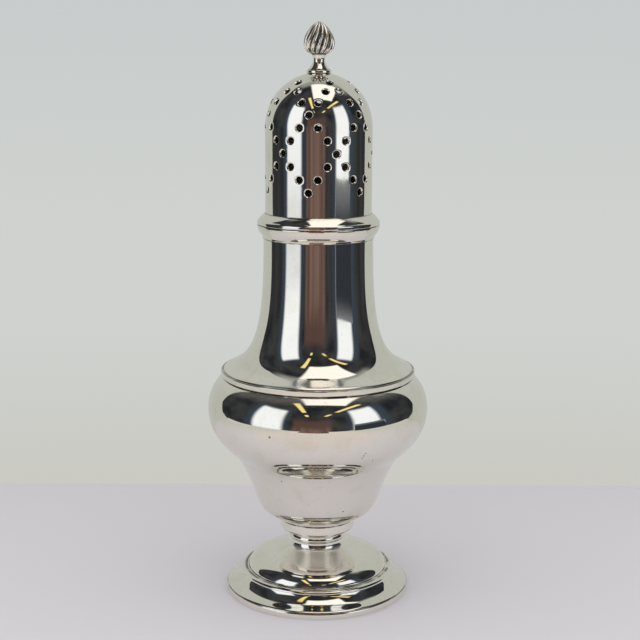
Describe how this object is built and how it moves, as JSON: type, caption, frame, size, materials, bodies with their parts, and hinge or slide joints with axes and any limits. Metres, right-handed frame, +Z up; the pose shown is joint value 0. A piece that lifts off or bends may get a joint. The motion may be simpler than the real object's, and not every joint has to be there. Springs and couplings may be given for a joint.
{
  "type": "sugar caster",
  "caption": "Vase-shaped silver sugar caster on a stepped round foot; its pull-off domed cover is pierced with a trellis of holes for sifting and carries a twisted flame finial.",
  "frame": {"origin": "centre of the ring that the foot stands on", "axes": "+Z up the caster's axis, -Y towards the front seen in the picture, +X to that view's right"},
  "size_m": [0.0776, 0.0776, 0.1999],
  "materials": {
    "polished_silver": "polished",
    "cast_silver": "polished"
  },
  "bodies": {
    "vessel": {"foot_rim": "polished_silver", "foot": "polished_silver", "stem_collar": "polished_silver", "knop": "polished_silver", "bowl": "polished_silver", "girdle": "polished_silver", "neck": "polished_silver", "neck_rim": "polished_silver"},
    "cover": {"cover_rim": "polished_silver", "cover_sleeve": "polished_silver", "dome": "polished_silver", "finial_pedestal": "cast_silver", "finial_flame": "cast_silver", "finial_nut": "cast_silver"}
  },
  "joints": [
    {"name": "cover_lift", "type": "slide", "parent": "vessel", "child": "cover", "axis": [0, 0, 1], "range_m": [0, 0.08]}
  ]
}
